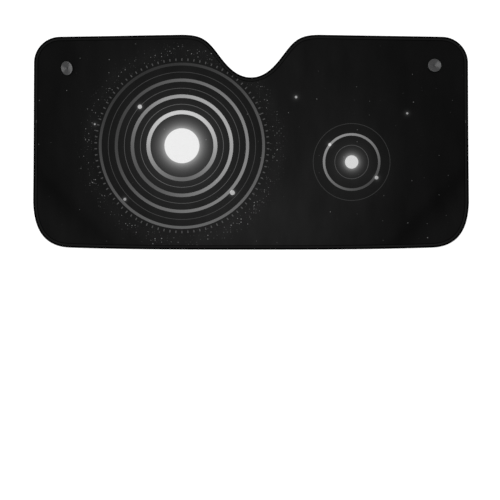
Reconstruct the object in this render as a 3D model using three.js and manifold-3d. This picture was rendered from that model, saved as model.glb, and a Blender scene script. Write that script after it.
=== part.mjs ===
// Windscreen sunshade: a printed cloth face on a foil-backed foam sheet, bound all round its edge
// with folded tape, with a notch for the rear-view mirror and two suction cups.
// Millimetres. The shade lies on a level surface: +X across the windscreen, +Y towards the notched
// top edge, +Z up out of the printed face. The origin is under the middle of the shade.

import * as THREE from "three";
import { mergeVertices } from "three/addons/utils/BufferGeometryUtils.js";
import Module from "manifold-3d";

const wasm = await Module();
wasm.setup();

const DEGREE = Math.PI / 180;

// Outline
const WIDTH = 1450;
const HEIGHT = 716;
const TOP_FALL = 7; // from the notch's shoulder out to the upper corner
const BOTTOM_BOW = 7; // rise of the lower edge from its middle to the corner's curve
const BOW_POWER = 3;
const SIDE_TAPER = 2.5; // how much each side leans in, from the lower corner to the upper
const TOP_CORNER_RADIUS = 87;
const BOTTOM_CORNER = { across: 124, up: 172 }; // how far the curve reaches along each edge
const CORNER_HANDLE = 0.673; // of that curve, as a share of its reach along each edge

// Mirror notch, in the middle of the top edge
const NOTCH_WIDTH = 460; // from shoulder to shoulder
const NOTCH_DEPTH = 142;
const NOTCH_FLOOR_RADIUS = 92;
const NOTCH_FLANK_ANGLE = 52 * DEGREE;
const FLANK_REACH = 0.513; // where the flank is steepest, as a share of the half width
const FLANK_RISE = 0.625; // and of the depth
const FLANK_HANDLES = { floor: 45, shoulder: 50 }; // how far each curve keeps the flank's slope
const SHOULDER_EASE = 60; // how far the shoulder runs level

// Layers
const FOAM_THICKNESS = 3;
const CLOTH_THICKNESS = 0.5;
const LAYER_GAP = 0.3;
const LAMINATE_THICKNESS = FOAM_THICKNESS + LAYER_GAP + CLOTH_THICKNESS;

// Edge binding: a tape folded round the laminate's edge
const TAPE_THICKNESS = 0.6;
const TAPE_LEG = 12; // how far the tape reaches in over each face
const TAPE_GAP = 0.3;
const FOLD_ROUNDING = 3; // how far the round fold reaches in from the outline
const LAMINATE_INSET = 3.2; // from the outline to the laminate's own edge
const BINDING_HALF = LAMINATE_THICKNESS / 2 + TAPE_GAP + TAPE_THICKNESS;

// Suction cups: a flat head behind the laminate, a neck through its hole and a leaning dish
const CUP_FROM_SIDE = 117;
const LEFT_CUP_FROM_TOP = 112;
const RIGHT_CUP_FROM_TOP = 104;
const CUP_RADIUS = 22.5;
const CUP_RIM_WIDTH = 1.2;
const CUP_RIM_THICKNESS = 0.6;
const DISH_HEIGHT = 9; // from the dish's root to the plane of its rim
const DISH_DEPTH = 5.8; // of the hollow in the dish
const HEAD_RADIUS = 6.5;
const HEAD_THICKNESS = 4.6;
const HEAD_EDGE = 1; // bevel round the head
const HEAD_CLEARANCE = 0.4;
const NECK_RADIUS = 3.5;
const NECK_CLEARANCE = 1.5; // round the neck in its punched hole
const DISH_CLEARANCE = 0.6; // between the dish's low side and the cloth
const LEFT_CUP = { lean: 22 * DEGREE, towards: 200 * DEGREE };
const RIGHT_CUP = { lean: 9 * DEGREE, towards: 0 };

// How the shade lies: long low waves, lifted over the heads of the cups, lower corners curled up
const WAVE_HEIGHT = 1.6;
const WAVE_LENGTH = 414;
const WAVE_SLANT = 0.35; // how far a wave's crest shifts along X for each step along Y
const CUP_LIFT_SPREAD = 75;
const CORNER_CURL = 7;
const CURL_REACH = 360;

// Print: a pale disc with rings round it, and a small disc with one ring
const PRINT_THICKNESS = 0.3;
const PRINT_GAP = 0.3;
const LARGE_DISC = { x: -230, y: -12, radius: 58 };
const LARGE_RINGS = 4;
const LARGE_RING_WIDTH = 13; // of the innermost
const RING_THINNING = 0.89; // from each ring to the next one out
const PRINT_MARGIN = 86; // from the outermost ring's middle to the lower edge, were it at mid height
const SMALL_DISC = { x: 335, y: -66, radius: 22 };
const SMALL_RING_RADIUS = 92;
const SMALL_RING_WIDTH = 8;

// Facets
const CORNER_STEPS = 6;
const EDGE_STEPS = 9;
const SHOULDER_STEPS = 6;
const FLOOR_STEPS = 6;
const LOWER_ROWS = 6; // below the rows that follow the laminate over the cups' heads
const CUP_ROW_STEP = 46;
const EDGE_ROW = 14; // the first and last rows, which the tape covers
const OUTER_FOLD_STEPS = 4;
const INNER_FOLD_STEPS = 2;
const HOLE_SIDES = 16;
const CUP_SIDES = 20;
const NECK_STEPS = 3;
const RING_SIDES = 40;
const DISC_SIDES = 24;
const CLEAR_OF_ALL = 100; // length of a cutting tool that runs past both faces

const material = (name, color, roughness, metalness = 0) =>
  new THREE.MeshStandardMaterial({ name, color, roughness, metalness });

const MATERIALS = {
  cloth: material("printed_cloth", 0x131314, 0.75),
  foil: material("foil_foam", 0xb9bcc0, 0.38, 0.7),
  tape: material("binding_tape", 0x0a0a0b, 0.8),
  cup: material("clear_cup", 0x4a4b4d, 0.2),
  pale: material("print_pale", 0xf1f1f1, 0.7),
  grey: material("print_grey", 0x8e8e8e, 0.7),
  dim: material("print_dim", 0x5a5a5a, 0.7),
  dark: material("print_dark", 0x3c3c3c, 0.7),
};
MATERIALS.cup.transparent = true;
MATERIALS.cup.opacity = 0.6;

// Where the cups pass through the laminate, and how high their heads hold it
const LEFT_CUP_PLACE = new THREE.Vector2(-WIDTH / 2 + CUP_FROM_SIDE, HEIGHT / 2 - LEFT_CUP_FROM_TOP);
const RIGHT_CUP_PLACE = new THREE.Vector2(WIDTH / 2 - CUP_FROM_SIDE, HEIGHT / 2 - RIGHT_CUP_FROM_TOP);
const CUP_PLACES = [LEFT_CUP_PLACE, RIGHT_CUP_PLACE];
const FLAT_HEIGHT = TAPE_GAP + TAPE_THICKNESS;
const CUP_HEIGHT = HEAD_THICKNESS + HEAD_CLEARANCE;

// Height of the laminate's underside at a place on the shade
function lie(x, y) {
  const phase = (2 * Math.PI * (x + WAVE_SLANT * y)) / WAVE_LENGTH;
  const wave = (WAVE_HEIGHT * (1 - Math.cos(phase))) / 2;
  const cornerCut = (BOTTOM_CORNER.across + BOTTOM_CORNER.up) * (1 / 2 - (3 / 8) * CORNER_HANDLE);
  const beyond = Math.abs(x) - y - (WIDTH + HEIGHT) / 2 + cornerCut;
  const curl = CORNER_CURL * Math.max(0, 1 + beyond / CURL_REACH) ** 2;
  let height = FLAT_HEIGHT + wave + curl;
  for (const cup of CUP_PLACES) {
    const spread = Math.hypot(x - cup.x, y - cup.y) / CUP_LIFT_SPREAD;
    height += (CUP_HEIGHT - height) * Math.exp(-(spread ** 2) / 2);
  }
  return height;
}

// Geometry helpers

const point = (x, y) => new THREE.Vector2(x, y);
const turnedLeft = (v) => point(-v.y, v.x);

function solidFrom(geometry) {
  for (const name of ["normal", "uv"]) geometry.deleteAttribute(name);
  const merged = mergeVertices(geometry, 1e-4);
  const index = merged.index.array;
  const kept = [];
  for (let i = 0; i < index.length; i += 3) {
    const [a, b, c] = [index[i], index[i + 1], index[i + 2]];
    if (a !== b && b !== c && c !== a) kept.push(a, b, c);
  }
  return new wasm.Manifold(new wasm.Mesh({
    numProp: 3,
    vertProperties: new Float32Array(merged.attributes.position.array),
    triVerts: new Uint32Array(kept),
  }));
}

function geometryOf(vertices, triangles) {
  const geometry = new THREE.BufferGeometry();
  geometry.setAttribute("position", new THREE.Float32BufferAttribute(vertices.flat(), 3));
  geometry.setIndex(triangles);
  return geometry;
}

function meshOf(name, solid, look) {
  const { vertProperties, triVerts } = solid.getMesh();
  const geometry = new THREE.BufferGeometry();
  geometry.setAttribute("position", new THREE.BufferAttribute(vertProperties, 3));
  geometry.setIndex(new THREE.BufferAttribute(triVerts, 1));
  geometry.computeVertexNormals();
  const mesh = new THREE.Mesh(geometry, look);
  mesh.name = name;
  return mesh;
}

// Closed tube of facets: each section is a loop of points, and the last section joins the first
function closedSweep(sections) {
  const sides = sections[0].length;
  const triangles = [];
  sections.forEach((_, i) => {
    const here = i * sides;
    const next = ((i + 1) % sections.length) * sides;
    for (let j = 0; j < sides; j++) {
      const k = (j + 1) % sides;
      triangles.push(here + j, next + k, next + j, here + j, here + k, next + k);
    }
  });
  return solidFrom(geometryOf(sections.flat(), triangles));
}

// Outline: the right half of each edge runs from the side to the centre line

// Round corner between two lines that run anticlockwise along the outline
function cornerArc(before, after, radius) {
  const inBefore = turnedLeft(before.along);
  const inAfter = turnedLeft(after.along);
  const a = before.from.clone().addScaledVector(inBefore, radius);
  const b = after.from.clone().addScaledVector(inAfter, radius);
  const reach = b.clone().sub(a).cross(after.along) / before.along.cross(after.along);
  const centre = a.addScaledVector(before.along, reach);
  const start = inBefore.angle() - Math.PI;
  const turn = Math.acos(before.along.dot(after.along));
  return new THREE.EllipseCurve(centre.x, centre.y, radius, radius, start, start + turn).getPoints(CORNER_STEPS);
}

// Lower corner: a curve from where the side starts to a place on the bottom line
function lowerCorner(bottom, side) {
  const reach = side.from.clone().sub(bottom.from).cross(side.along) / bottom.along.cross(side.along);
  const meeting = bottom.from.clone().addScaledVector(bottom.along, reach);
  const low = meeting.clone().addScaledVector(bottom.along, -BOTTOM_CORNER.across);
  const sideHandle = side.from.clone().lerp(meeting, CORNER_HANDLE);
  const lowHandle = low.clone().lerp(meeting, CORNER_HANDLE);
  return new THREE.CubicBezierCurve(side.from, sideHandle, lowHandle, low).getPoints(CORNER_STEPS);
}

function notchCurves() {
  const shoulder = point(NOTCH_WIDTH / 2, HEIGHT / 2);
  const floor = point(0, HEIGHT / 2 - NOTCH_DEPTH);
  const flank = point(FLANK_REACH * shoulder.x, floor.y + FLANK_RISE * NOTCH_DEPTH);
  const slope = point(Math.cos(NOTCH_FLANK_ANGLE), Math.sin(NOTCH_FLANK_ANGLE));
  const low = flank.clone().addScaledVector(slope, -FLANK_HANDLES.floor);
  const high = flank.clone().addScaledVector(slope, FLANK_HANDLES.shoulder);
  const floorHandle = Math.sqrt((2 / 3) * (low.y - floor.y) * NOTCH_FLOOR_RADIUS);
  const eased = point(shoulder.x - SHOULDER_EASE, shoulder.y);
  return {
    shoulder,
    upper: new THREE.CubicBezierCurve(shoulder, eased, high, flank),
    lower: new THREE.CubicBezierCurve(flank, low, point(floorHandle, floor.y), floor),
  };
}

function halfOutline() {
  const notch = notchCurves();
  const bowRun = WIDTH / 2 - BOTTOM_CORNER.across;
  const bottom = {
    from: point(0, -HEIGHT / 2 - (BOW_POWER - 1) * BOTTOM_BOW),
    along: point(bowRun, BOW_POWER * BOTTOM_BOW).normalize(),
  };
  const sideRun = HEIGHT - TOP_CORNER_RADIUS - BOTTOM_CORNER.up;
  const side = {
    from: point(WIDTH / 2, -HEIGHT / 2 + BOTTOM_CORNER.up),
    along: point(-SIDE_TAPER, sideRun).normalize(),
  };
  const topRun = WIDTH / 2 - TOP_CORNER_RADIUS - notch.shoulder.x;
  const top = { from: notch.shoulder, along: point(-topRun, TOP_FALL).normalize() };

  const topArc = cornerArc(side, top, TOP_CORNER_RADIUS);
  const bottomArc = lowerCorner(bottom, side);
  const topEnd = topArc.at(-1);
  const bottomEnd = bottomArc.at(-1);
  const straight = new THREE.LineCurve(topEnd, notch.shoulder).getPoints(EDGE_STEPS);
  const upper = [
    ...topArc,
    ...straight.slice(1),
    ...notch.upper.getPoints(SHOULDER_STEPS).slice(1),
    ...notch.lower.getPoints(FLOOR_STEPS).slice(1),
  ];
  const lower = upper.map((over, i) => {
    if (i < bottomArc.length) return bottomArc[i];
    const share = over.x / topEnd.x;
    return point(share * bottomEnd.x, -HEIGHT / 2 + share ** BOW_POWER * (bottomEnd.y + HEIGHT / 2));
  });
  return { upper, lower };
}

const mirrored = (half) => [
  ...half.map((p) => point(-p.x, p.y)),
  ...half.slice(0, -1).reverse(),
];

// Points down one column: one row passes over the heads of the cups
function column(bottom, top) {
  const overCups = (LEFT_CUP_FROM_TOP + RIGHT_CUP_FROM_TOP) / 2 - TOP_FALL;
  const upper = [0, EDGE_ROW, overCups - CUP_ROW_STEP, overCups, overCups + CUP_ROW_STEP];
  const length = bottom.distanceTo(top);
  const rest = length - EDGE_ROW - upper.at(-1);
  const lower = Array.from({ length: LOWER_ROWS }, (_, i) => upper.at(-1) + (rest * (i + 1)) / LOWER_ROWS);
  return [...upper, ...lower, length].reverse().map((down) => top.clone().lerp(bottom, down / length));
}

// Grid positions round the rim of a grid of columns, anticlockwise from the lower left corner
function rimOf(columns, rows) {
  const rim = [];
  for (let i = 0; i < columns; i++) rim.push([i, 0]);
  for (let j = 0; j < rows; j++) rim.push([columns, j]);
  for (let i = columns; i > 0; i--) rim.push([i, rows]);
  for (let j = rows; j > 0; j--) rim.push([0, j]);
  return rim;
}

// The outline as stations, each with the direction in from the edge, long enough to keep
// every inset parallel to the outline
function edgeStations() {
  const half = halfOutline();
  const upper = mirrored(half.upper);
  const lower = mirrored(half.lower);
  const grid = upper.map((top, i) => column(lower[i], top));
  const rows = grid[0].length - 1;
  const rim = rimOf(grid.length - 1, rows);
  const places = rim.map(([i, j]) => grid[i][j]);
  const stations = places.map((place, k) => {
    const before = places.at(k - 1);
    const after = places[(k + 1) % places.length];
    const inA = turnedLeft(place.clone().sub(before).normalize());
    const inB = turnedLeft(after.clone().sub(place).normalize());
    const inward = inA.clone().add(inB).normalize();
    return { place, inward: inward.divideScalar(inward.dot(inA)) };
  });
  return { stations, rim, rows, columns: grid.length - 1 };
}

const EDGE = edgeStations();
const insetPlace = (station, inset) => station.place.clone().addScaledVector(station.inward, inset);

// Laminate: both layers share one grid, so they stay parallel as the shade waves and lifts

function laminateGrid() {
  const onRim = new Map();
  EDGE.rim.forEach(([i, j], k) => onRim.set(`${i},${j}`, insetPlace(EDGE.stations[k], LAMINATE_INSET)));
  return Array.from({ length: EDGE.columns + 1 }, (_, i) => {
    const points = column(onRim.get(`${i},0`), onRim.get(`${i},${EDGE.rows}`));
    return points.map((p, j) => onRim.get(`${i},${j}`) ?? p);
  });
}

const GRID = laminateGrid();

function sheet(base, thickness) {
  const across = EDGE.rows + 1;
  const flat = GRID.flat();
  const under = flat.map((p) => [p.x, p.y, lie(p.x, p.y) + base]);
  const over = under.map(([x, y, z]) => [x, y, z + thickness]);
  const count = flat.length;
  const triangles = [];
  for (let i = 0; i < EDGE.columns; i++) {
    for (let j = 0; j < EDGE.rows; j++) {
      const [a, b] = [i * across + j, (i + 1) * across + j];
      const [c, d] = [b + 1, a + 1];
      triangles.push(a, c, b, a, d, c);
      triangles.push(count + a, count + b, count + c, count + a, count + c, count + d);
    }
  }
  EDGE.rim.forEach(([i, j], k) => {
    const [nextI, nextJ] = EDGE.rim[(k + 1) % EDGE.rim.length];
    const [a, b] = [i * across + j, nextI * across + nextJ];
    triangles.push(a, b, count + b, a, count + b, count + a);
  });
  return CUP_PLACES.reduce(
    (layer, cup) => layer.subtract(neckHole(cup)),
    solidFrom(geometryOf([...under, ...over], triangles)),
  );
}

function neckHole(cup) {
  const radius = NECK_RADIUS + NECK_CLEARANCE;
  const hole = new THREE.CylinderGeometry(radius, radius, CLEAR_OF_ALL, HOLE_SIDES);
  return solidFrom(hole.rotateX(Math.PI / 2).translate(cup.x, cup.y, 0));
}

const insulationSheet = () => meshOf("insulation_sheet", sheet(0, FOAM_THICKNESS), MATERIALS.foil);

const printedFace = () =>
  meshOf("printed_face", sheet(FOAM_THICKNESS + LAYER_GAP, CLOTH_THICKNESS), MATERIALS.cloth);

// Binding: the folded tape's section, as distance in from the outline and height over the
// laminate's middle, swept round the edge and laid on the waving shade

function tapeSection() {
  const fold = (half, start, steps) => {
    const reach = FOLD_ROUNDING - start;
    return Array.from({ length: steps + 1 }, (_, i) => {
      const angle = Math.PI * (0.5 - i / steps);
      return [FOLD_ROUNDING - reach * Math.cos(angle), half * Math.sin(angle)];
    });
  };
  const inner = BINDING_HALF - TAPE_THICKNESS;
  return [
    [TAPE_LEG, BINDING_HALF],
    ...fold(BINDING_HALF, 0, OUTER_FOLD_STEPS),
    [TAPE_LEG, -BINDING_HALF],
    [TAPE_LEG, -inner],
    ...fold(inner, TAPE_THICKNESS, INNER_FOLD_STEPS).reverse(),
    [TAPE_LEG, inner],
  ];
}

function edgeBinding() {
  const section = tapeSection();
  const sections = EDGE.stations.map((station) => section.map(([inset, rise]) => {
    const { x, y } = insetPlace(station, inset);
    return [x, y, lie(x, y) + LAMINATE_THICKNESS / 2 + rise];
  }));
  return meshOf("edge_binding", closedSweep(sections), MATERIALS.tape);
}

// Suction cup: turned about its own axis, then bent in the neck so that its dish leans

// The dish's back, as radius and height over its root
const dishBack = () => [
  [NECK_RADIUS, 0],
  [NECK_RADIUS + 1.5, 1.3],
  [CUP_RADIUS * 0.4, 2.4],
  [CUP_RADIUS * 0.62, 4.1],
  [CUP_RADIUS * 0.84, 6.3],
  [CUP_RADIUS, DISH_HEIGHT - CUP_RIM_THICKNESS],
];

// The neck's bend ends where the dish's low side clears the cloth at the largest lean
function neckBend() {
  const lean = Math.max(LEFT_CUP.lean, RIGHT_CUP.lean);
  const dip = Math.max(...dishBack().map(([r, h]) => r * Math.sin(lean) - h * Math.cos(lean)));
  const start = CUP_HEIGHT + LAMINATE_THICKNESS / 2;
  const rise = CUP_HEIGHT + LAMINATE_THICKNESS + DISH_CLEARANCE + dip - start;
  return { start, length: (rise * lean) / Math.sin(lean) };
}

const BEND = neckBend();
const DISH_ROOT = BEND.start + BEND.length;

function cupProfile() {
  const rim = DISH_ROOT + DISH_HEIGHT;
  const hollow = CUP_RADIUS - CUP_RIM_WIDTH;
  const neck = Array.from({ length: NECK_STEPS }, (_, i) => [
    NECK_RADIUS,
    BEND.start + (BEND.length * i) / NECK_STEPS,
  ]);
  return [
    [0, 0],
    [HEAD_RADIUS - HEAD_EDGE, 0],
    [HEAD_RADIUS, HEAD_EDGE],
    [HEAD_RADIUS, HEAD_THICKNESS - HEAD_EDGE],
    [HEAD_RADIUS - HEAD_EDGE, HEAD_THICKNESS],
    [NECK_RADIUS, HEAD_THICKNESS],
    ...neck,
    ...dishBack().map(([r, h]) => [r, DISH_ROOT + h]),
    [CUP_RADIUS, rim],
    [hollow, rim],
    [hollow * 0.66, rim - DISH_DEPTH * 0.4],
    [hollow * 0.34, rim - DISH_DEPTH * 0.76],
    [hollow * 0.12, rim - DISH_DEPTH],
    [0, rim - DISH_DEPTH],
  ].map(([r, z]) => point(r, z));
}

// Bends a geometry that stands on +Z towards +X: straight below the bend, leaning above it
function bendTowardsX(geometry, lean) {
  const radius = BEND.length / lean;
  const places = geometry.attributes.position;
  for (let i = 0; i < places.count; i++) {
    const along = THREE.MathUtils.clamp(places.getZ(i) - BEND.start, 0, BEND.length);
    const past = places.getZ(i) - BEND.start - along;
    const angle = along / radius;
    const out = radius - places.getX(i);
    places.setX(i, radius - out * Math.cos(angle) + past * Math.sin(angle));
    places.setZ(i, BEND.start + out * Math.sin(angle) + past * Math.cos(angle));
  }
  return geometry;
}

function suctionCup(name, place, { lean, towards }) {
  const turned = new THREE.LatheGeometry(cupProfile(), CUP_SIDES).rotateX(Math.PI / 2);
  const bent = bendTowardsX(turned, lean).rotateZ(towards);
  return meshOf(name, solidFrom(bent.translate(place.x, place.y, 0)), MATERIALS.cup);
}

// Print: thin films on the cloth

const PRINT_BASE = LAMINATE_THICKNESS + PRINT_GAP;

const onCloth = (centre, radius, angle, rise) => {
  const x = centre.x + radius * Math.cos(angle);
  const y = centre.y + radius * Math.sin(angle);
  return [x, y, lie(x, y) + PRINT_BASE + rise];
};

function printRing(name, centre, radius, width, look) {
  const sections = Array.from({ length: RING_SIDES }, (_, i) => {
    const angle = (2 * Math.PI * i) / RING_SIDES;
    const [inner, outer] = [radius - width / 2, radius + width / 2];
    return [
      onCloth(centre, inner, angle, 0),
      onCloth(centre, inner, angle, PRINT_THICKNESS),
      onCloth(centre, outer, angle, PRINT_THICKNESS),
      onCloth(centre, outer, angle, 0),
    ];
  });
  return meshOf(name, closedSweep(sections), look);
}

function printDisc(name, disc, look) {
  const vertices = [onCloth(disc, 0, 0, 0), onCloth(disc, 0, 0, PRINT_THICKNESS)];
  const triangles = [];
  for (let i = 0; i < DISC_SIDES; i++) {
    const angle = (2 * Math.PI * i) / DISC_SIDES;
    vertices.push(onCloth(disc, disc.radius, angle, 0), onCloth(disc, disc.radius, angle, PRINT_THICKNESS));
    const [here, next] = [2 + 2 * i, 2 + 2 * ((i + 1) % DISC_SIDES)];
    triangles.push(0, next, here, 1, here + 1, next + 1);
    triangles.push(here, next, next + 1, here, next + 1, here + 1);
  }
  return meshOf(name, solidFrom(geometryOf(vertices, triangles)), look);
}

// The large disc's rings are evenly spaced out to the margin
function largeRings() {
  const fading = [MATERIALS.grey, MATERIALS.grey, MATERIALS.dim, MATERIALS.dark];
  const reach = HEIGHT / 2 - PRINT_MARGIN - LARGE_DISC.radius;
  return Array.from({ length: LARGE_RINGS }, (_, i) => {
    const radius = LARGE_DISC.radius + (reach * (i + 1)) / LARGE_RINGS;
    const width = LARGE_RING_WIDTH * RING_THINNING ** i;
    return printRing(`print_large_ring_${i + 1}`, LARGE_DISC, radius, width, fading[i] ?? MATERIALS.dark);
  });
}

const print = () => [
  printDisc("print_large_disc", LARGE_DISC, MATERIALS.pale),
  ...largeRings(),
  printDisc("print_small_disc", SMALL_DISC, MATERIALS.pale),
  printRing("print_small_ring", SMALL_DISC, SMALL_RING_RADIUS, SMALL_RING_WIDTH, MATERIALS.dim),
];

const sunshade = new THREE.Group();
sunshade.add(
  insulationSheet(),
  printedFace(),
  edgeBinding(),
  suctionCup("suction_cup_left", LEFT_CUP_PLACE, LEFT_CUP),
  suctionCup("suction_cup_right", RIGHT_CUP_PLACE, RIGHT_CUP),
  ...print(),
);

export default sunshade;
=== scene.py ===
# Looks of a windscreen sunshade that lies flat, print side up: printed cloth on foil-backed foam,
# tape bound round the edge and sewn through, and two soft suction cups.
# Shapes are worked out in millimetres, as the shade's own sizes are, and made in metres.

import math

import bpy
import numpy as np
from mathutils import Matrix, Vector


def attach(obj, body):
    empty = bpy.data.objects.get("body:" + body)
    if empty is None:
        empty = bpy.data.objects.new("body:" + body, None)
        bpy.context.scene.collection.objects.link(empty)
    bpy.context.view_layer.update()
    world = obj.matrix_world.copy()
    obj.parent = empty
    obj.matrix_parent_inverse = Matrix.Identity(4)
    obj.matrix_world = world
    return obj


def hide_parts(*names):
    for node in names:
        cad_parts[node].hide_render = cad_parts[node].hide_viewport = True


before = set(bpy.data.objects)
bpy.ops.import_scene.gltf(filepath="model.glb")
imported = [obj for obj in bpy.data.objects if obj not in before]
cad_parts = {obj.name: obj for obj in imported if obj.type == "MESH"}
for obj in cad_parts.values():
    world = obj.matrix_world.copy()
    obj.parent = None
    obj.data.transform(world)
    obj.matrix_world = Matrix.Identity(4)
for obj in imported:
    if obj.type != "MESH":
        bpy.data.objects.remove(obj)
bpy.context.view_layer.update()

MM = 0.001

# Outline
WIDTH = 1450
HEIGHT = 716
TOP_FALL = 7
BOTTOM_BOW = 7
BOW_POWER = 3
SIDE_TAPER = 2.5
TOP_CORNER_RADIUS = 87
BOTTOM_CORNER = {"across": 124, "up": 172}
CORNER_HANDLE = 0.673
NOTCH_WIDTH = 460
NOTCH_DEPTH = 142
NOTCH_FLOOR_RADIUS = 92
NOTCH_FLANK_ANGLE = math.radians(52)
FLANK_REACH = 0.513  # where the flank is steepest, as a share of the notch's half width
FLANK_RISE = 0.625  # and of its depth
FLANK_HANDLES = {"floor": 45, "shoulder": 50}
SHOULDER_EASE = 60

# Layers and tape
FOAM_THICKNESS = 3
CLOTH_THICKNESS = 0.5
LAYER_GAP = 0.3
LAMINATE_THICKNESS = FOAM_THICKNESS + LAYER_GAP + CLOTH_THICKNESS
LAMINATE_INSET = 3.2
TAPE_THICKNESS = 0.6
TAPE_GAP = 0.3
TAPE_LEG = 12

# How it lies
WAVE_HEIGHT = 1.6
WAVE_LENGTH = 414
WAVE_SLANT = 0.35
CUP_LIFT_SPREAD = 75
CORNER_CURL = 7
CURL_REACH = 360
SWAY_RISE = 0.35
SLOW_SWAY = 0.22
QUICK_SWAY = 0.12
PUCKER_HEIGHT = 0.11
PUCKER_FADE = 13
SEAM_DIP = 0.25
SEAM_AT = TAPE_LEG + 1.5
SEAM_WIDTH = 2.2
EDGE_HOLD = 6  # nearer to the outline than this, the fold holds the puckers down

# Cups
HEAD_THICKNESS = 4.6
HEAD_RADIUS = 6.5
HEAD_CLEARANCE = 0.4
NECK_RADIUS = 3.5
HOLE_RADIUS = 5
HOLE_MARGIN = 1  # points of the cloth's grid this near outside a hole are cut out too
CUP_RADIUS = 22.5
DISH_HEIGHT = 9
DISH_CLEARANCE = 0.6
CUPS = {
    "left": {
        "place": (-608, 246),
        "lean": math.radians(22),
        "towards": math.radians(200),
        "oval": (0.93, 1.02),
    },
    "right": {
        "place": (608, 254),
        "lean": math.radians(9),
        "towards": 0.0,
        "oval": (1.01, 0.94),
    },
}

# Foil
BUBBLE_PITCH = 12.5
BUBBLE_ROW = BUBBLE_PITCH * math.sqrt(3) / 2
BUBBLE_RADIUS = 5
BUBBLE_HEIGHT = 0.7
BUBBLE_CLEARANCE = 1
BUBBLE_SIDES = 6
BUBBLE_RINGS = [(1, 0.06), (0.66, -0.72 * BUBBLE_HEIGHT)]  # share of the radius, and height
BAKE_MAP = "OFBake"  # the UV map to bake on

# Print
LARGE_DISC = {"centre": (-230, -12), "radius": 58}
LARGE_RINGS = 4
LARGE_RING_WIDTH = 13
RING_THINNING = 0.89
PRINT_MARGIN = 86
SMALL_DISC = {"centre": (335, -66), "radius": 22}
SMALL_RING_RADIUS = 92
SMALL_RING_WIDTH = 8
PRINT_NODES = [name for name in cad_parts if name.startswith("print_")]


# How the shade lies: the same long waves, lifts and curls as its solids, with a finer sway

def corner_reach():
    """How far out plus how far down the middle of a lower corner's curve lies."""
    cut_off = sum(BOTTOM_CORNER.values()) * (1 / 2 - 3 / 8 * CORNER_HANDLE)
    return (WIDTH + HEIGHT) / 2 - cut_off


def lie(x, y):
    """Height of the laminate's underside."""
    phase = 2 * np.pi * (x + WAVE_SLANT * y) / WAVE_LENGTH
    curl = CORNER_CURL * np.maximum(0, 1 + (abs(x) - y - corner_reach()) / CURL_REACH) ** 2
    height = TAPE_GAP + TAPE_THICKNESS + WAVE_HEIGHT * (1 - np.cos(phase)) / 2 + curl + sway(x, y)
    for cup in CUPS.values():
        away = np.hypot(x - cup["place"][0], y - cup["place"][1]) / CUP_LIFT_SPREAD
        height = height + (HEAD_THICKNESS + HEAD_CLEARANCE - height) * np.exp(-away ** 2 / 2)
    return height


def sway(x, y):
    """Slight unevenness of a foam sheet that has been folded and laid out again: two sets of
    waves whose lengths share no common measure, so that nothing repeats."""
    slow = np.sin(x / 47 + 1.3 * np.sin(y / 83)) * np.sin(y / 39 + 0.8)
    quick = np.sin(x / 21 + y / 34) * np.sin(y / 26 - x / 57 + 2)
    return SWAY_RISE + SLOW_SWAY * slow + QUICK_SWAY * quick


def pucker(along, inset):
    """Ripple that the seam draws into the cloth and the tape, dying out away from the edge."""
    short = np.sin(along / 2.3 + 1.7 * np.sin(along / 19))
    long = np.sin(along / 3.9 + 2 * np.sin(along / 31))
    fade = np.exp(-np.maximum(inset - TAPE_LEG, 0) / PUCKER_FADE)
    return PUCKER_HEIGHT * (short + 0.7 * long) * fade


def held_pucker(along, inset):
    """The same ripple, held flat where the tape folds over the edge."""
    return pucker(along, inset) * np.clip(inset / EDGE_HOLD, 0, 1)


# Outline

def turned_left(v):
    return np.array([-v[1], v[0]])


def unit(v):
    return np.array(v, float) / np.linalg.norm(v)


def cross(a, b):
    return a[0] * b[1] - a[1] * b[0]


def meeting(point_a, along_a, point_b, along_b):
    """Where two lines meet."""
    return point_a + along_a * (cross(point_b - point_a, along_b) / cross(along_a, along_b))


def corner_arc(before, after, radius, steps):
    """Round corner between two lines, each a point and a direction, that run anticlockwise."""
    (point_a, along_a), (point_b, along_b) = before, after
    from_a = point_a + radius * turned_left(along_a)
    from_b = point_b + radius * turned_left(along_b)
    centre = meeting(from_a, along_a, from_b, along_b)
    start = math.atan2(*(-turned_left(along_a))[::-1])
    angles = start + np.linspace(0, math.acos(along_a @ along_b), steps + 1)
    return centre + radius * np.column_stack([np.cos(angles), np.sin(angles)])


def bezier(points, steps):
    a, b, c, d = (np.array(p, float) for p in points)
    t = np.linspace(0, 1, steps + 1)[:, None]
    return a * (1 - t) ** 3 + 3 * b * t * (1 - t) ** 2 + 3 * c * t ** 2 * (1 - t) + d * t ** 3


def lower_corner(bottom, side, steps):
    """A curve from where the side starts to a place on the bottom line."""
    corner = meeting(*bottom, *side)
    high = side[0]
    low = corner - BOTTOM_CORNER["across"] * bottom[1]
    high_handle = high + CORNER_HANDLE * (corner - high)
    low_handle = low + CORNER_HANDLE * (corner - low)
    return bezier([high, high_handle, low_handle, low], steps)


def notch_curves(steps):
    shoulder = np.array([NOTCH_WIDTH / 2, HEIGHT / 2])
    floor = np.array([0, HEIGHT / 2 - NOTCH_DEPTH])
    flank = np.array([FLANK_REACH * shoulder[0], floor[1] + FLANK_RISE * NOTCH_DEPTH])
    slope = np.array([math.cos(NOTCH_FLANK_ANGLE), math.sin(NOTCH_FLANK_ANGLE)])
    low = flank - FLANK_HANDLES["floor"] * slope
    high = flank + FLANK_HANDLES["shoulder"] * slope
    floor_handle = math.sqrt(2 / 3 * (low[1] - floor[1]) * NOTCH_FLOOR_RADIUS)
    upper = bezier([shoulder, shoulder - [SHOULDER_EASE, 0], high, flank], steps)
    lower = bezier([flank, low, floor + [floor_handle, 0], floor], steps)
    return shoulder, np.vstack([upper, lower[1:]])


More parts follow.
